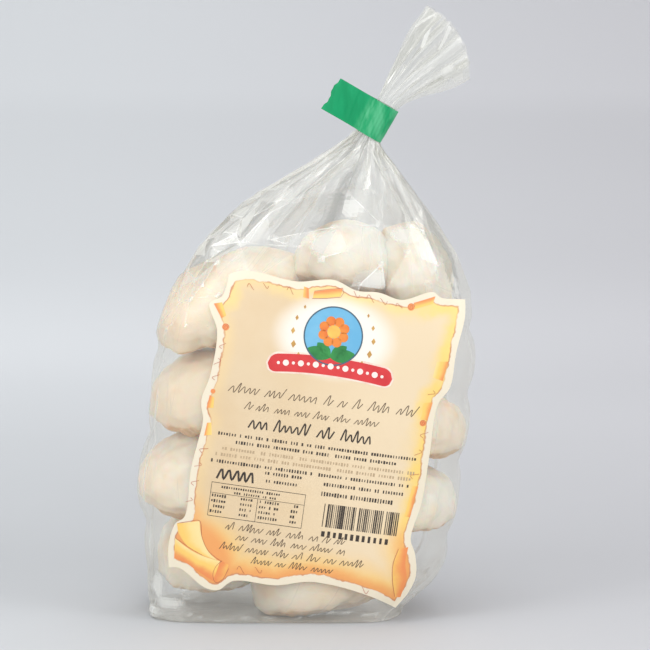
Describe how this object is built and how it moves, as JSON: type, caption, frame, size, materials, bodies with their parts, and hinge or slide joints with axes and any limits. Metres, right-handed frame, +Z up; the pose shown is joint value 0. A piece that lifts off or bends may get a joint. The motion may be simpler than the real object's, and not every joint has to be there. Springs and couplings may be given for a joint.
{
  "type": "clear bag of glazed cookies with a paper label",
  "caption": "Clear film bag filled with white-glazed cookies, standing on its flat bottom, its neck tied with green tape, with a torn-parchment paper label on its front.",
  "frame": {"origin": "middle of the bounding box in X and Y, on the surface that the bag stands on", "axes": "+Z up the bag, -Y out of the label's face, +X to the right of someone who looks at the label"},
  "size_m": [0.1294, 0.066, 0.2335],
  "materials": {
    "filled_bag": "clear glossy film over white glazed cookies",
    "label_paper": "smooth printed paper, satin",
    "green_tape": "satin adhesive tape"
  },
  "bodies": {
    "root": {"bag": "filled_bag", "label": "label_paper", "tape": "green_tape"}
  },
  "joints": []
}
